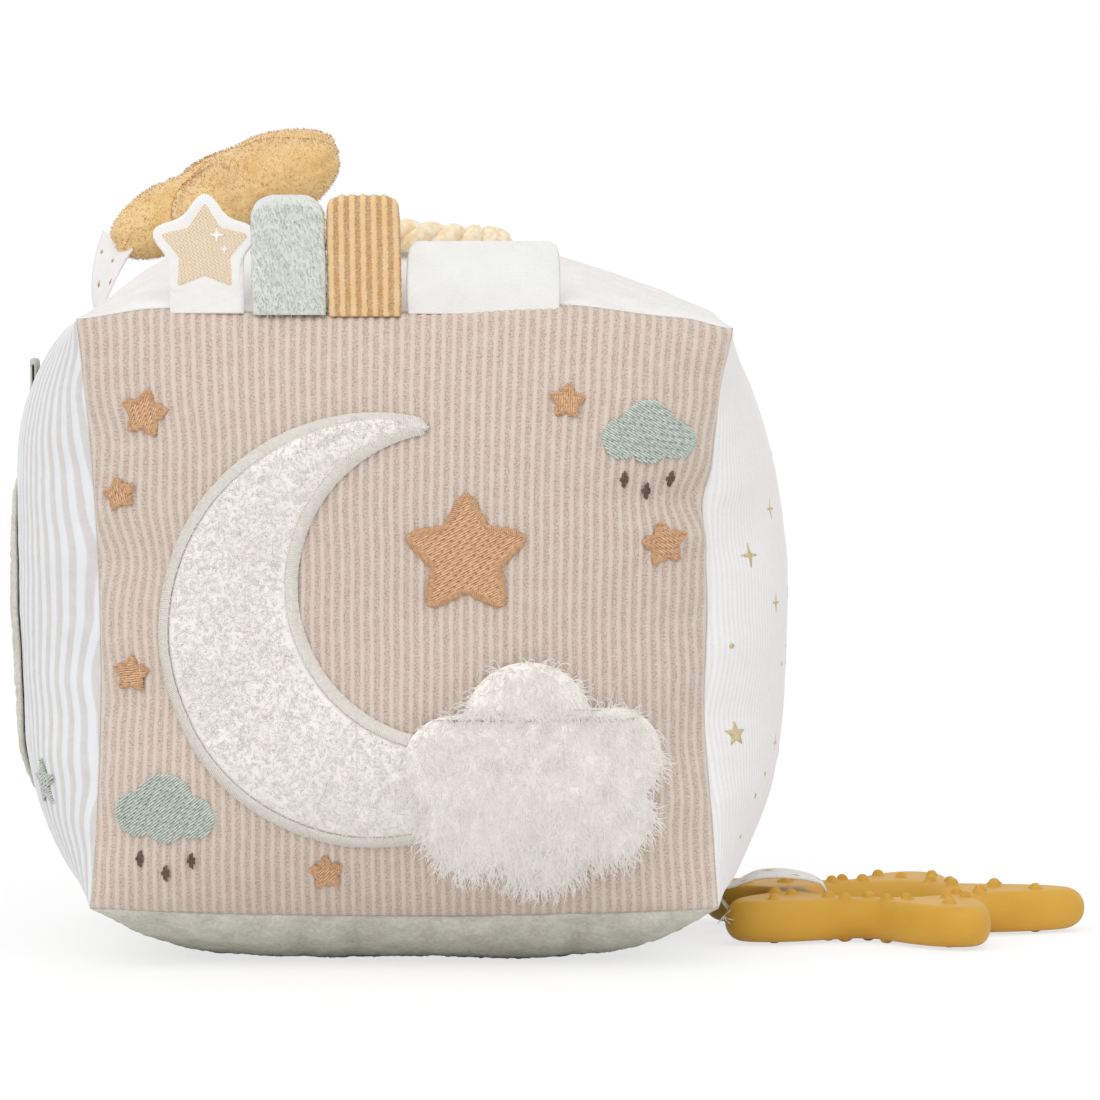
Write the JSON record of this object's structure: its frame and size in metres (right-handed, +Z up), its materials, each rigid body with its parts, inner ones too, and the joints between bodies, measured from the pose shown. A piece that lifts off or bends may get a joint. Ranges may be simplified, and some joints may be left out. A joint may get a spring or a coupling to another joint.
{
  "type": "soft activity cube",
  "caption": "Soft fabric activity cube for a baby, with crowned panels, seam tags, a stuffed star and a star teething ring on ribbons.",
  "frame": {"origin": "middle of the cube's flat rest area, on the floor", "axes": "+Z up, front panel facing -Y, teething ring towards +X"},
  "size_m": [0.2307, 0.1653, 0.1702],
  "materials": {
    "beige_corduroy": "matte fine-wale corduroy",
    "white_cotton": "matte woven cotton",
    "striped_cotton": "matte cotton with narrow stripes",
    "sage_plush": "soft short plush",
    "cream_fleece": "matte fleece",
    "cream_pile": "long soft pile",
    "caramel_corduroy": "matte corduroy",
    "peach_weave": "matte woven ribbon",
    "white_weave": "satin woven ribbon",
    "yellow_cotton": "matte twisted cotton",
    "ochre_velour": "soft velour",
    "ochre_silicone": "satin silicone",
    "mirror_film": "polished mirror film",
    "clear_film": "thin clear film",
    "fibre_filling": "loose polyester fibre",
    "white_plastic": "smooth plastic"
  },
  "bodies": {
    "cube": {"front_panel": "beige_corduroy", "back_panel": "beige_corduroy", "right_panel": "white_cotton", "left_panel": "striped_cotton", "top_panel": "white_cotton", "bottom_panel": "sage_plush", "crinkle_film": "clear_film", "filling_upper": "fibre_filling", "filling_lower": "fibre_filling", "rattle_shell_upper": "white_plastic", "rattle_shell_lower": "white_plastic", "moon_applique": "cream_fleece", "cloud_top": "cream_pile", "mirror_rim": "sage_plush", "mirror_film": "mirror_film", "twisted_cord": "yellow_cotton"},
    "star_tag": {"star_tag": "peach_weave"},
    "plush_loop": {"plush_loop": "sage_plush"},
    "corduroy_loop": {"corduroy_loop": "caramel_corduroy"},
    "folded_label": {"folded_label": "white_weave"},
    "cloud_flap": {"cloud_flap": "cream_pile"},
    "side_loop": {"side_loop": "sage_plush"},
    "star_ribbon": {"plush_star_ribbon": "white_weave"},
    "plush_star": {"plush_star_upper": "ochre_velour", "plush_star_lower": "ochre_velour", "plush_star_filling": "fibre_filling"},
    "teether_ribbon": {"teether_ribbon": "white_weave"},
    "teether": {"teether_star": "ochre_silicone"},
    "rattle_bead_1": {"rattle_bead_1": "white_plastic"},
    "rattle_bead_2": {"rattle_bead_2": "white_plastic"},
    "rattle_bead_3": {"rattle_bead_3": "white_plastic"}
  },
  "joints": [
    {"name": "star_tag_bend", "type": "hinge", "parent": "cube", "child": "star_tag", "pos_m": [-0.0385, -0.065, 0.13473], "axis": [1, 0, 0], "range_deg": [-25, 80], "stiffness_Nm_per_rad": 0.003},
    {"name": "plush_loop_bend", "type": "hinge", "parent": "cube", "child": "plush_loop", "pos_m": [-0.02145, -0.065, 0.1365], "axis": [1, 0, 0], "range_deg": [-25, 80], "stiffness_Nm_per_rad": 0.003},
    {"name": "corduroy_loop_bend", "type": "hinge", "parent": "cube", "child": "corduroy_loop", "pos_m": [-0.0066, -0.065, 0.13632], "axis": [1, 0, 0], "range_deg": [-25, 80], "stiffness_Nm_per_rad": 0.003},
    {"name": "label_bend", "type": "hinge", "parent": "cube", "child": "folded_label", "pos_m": [0.0174, -0.065, 0.13457], "axis": [1, 0, 0], "range_deg": [-25, 80], "stiffness_Nm_per_rad": 0.001},
    {"name": "cloud_flap_lift", "type": "hinge", "parent": "cube", "child": "cloud_flap", "pos_m": [0.027, -0.0865, 0.05185], "axis": [1, 0, 0], "range_deg": [-110, 0], "stiffness_Nm_per_rad": 0.002, "springref_deg": 17.19},
    {"name": "side_loop_bend", "type": "hinge", "parent": "cube", "child": "side_loop", "pos_m": [-0.07961, -0.022, 0.11749], "axis": [0, 1, 0], "range_deg": [-45, 10], "stiffness_Nm_per_rad": 0.0005},
    {"name": "star_ribbon_swing", "type": "hinge", "parent": "cube", "child": "star_ribbon", "pos_m": [-0.0663, 0.022, 0.132], "axis": [0, 1, 0], "range_deg": [-95, 0]},
    {"name": "plush_star_lift", "type": "hinge", "parent": "star_ribbon", "child": "plush_star", "pos_m": [-0.06345, 0.022, 0.14539], "axis": [0, 1, 0], "range_deg": [-100, 0]},
    {"name": "teether_ribbon_swing", "type": "hinge", "parent": "cube", "child": "teether_ribbon", "pos_m": [0.0649, 0.0083, 0.0111], "axis": [0, 1, 0], "range_deg": [-20, 0]},
    {"name": "teether_tilt", "type": "hinge", "parent": "teether_ribbon", "child": "teether", "pos_m": [0.08196, 0.0083, 0.0057], "axis": [0, 1, 0], "range_deg": [-15, 0]},
    {"name": "rattle_bead_1_roll", "type": "hinge", "parent": "cube", "child": "rattle_bead_1", "pos_m": [0, -0.0065, 0.074], "axis": [0, 1, 0], "range_deg": [-170, 170]},
    {"name": "rattle_bead_2_roll", "type": "hinge", "parent": "cube", "child": "rattle_bead_2", "pos_m": [0, 0, 0.074], "axis": [0, 1, 0], "range_deg": [-170, 170]},
    {"name": "rattle_bead_3_roll", "type": "hinge", "parent": "cube", "child": "rattle_bead_3", "pos_m": [0, 0.0065, 0.074], "axis": [0, 1, 0], "range_deg": [-170, 170]}
  ]
}
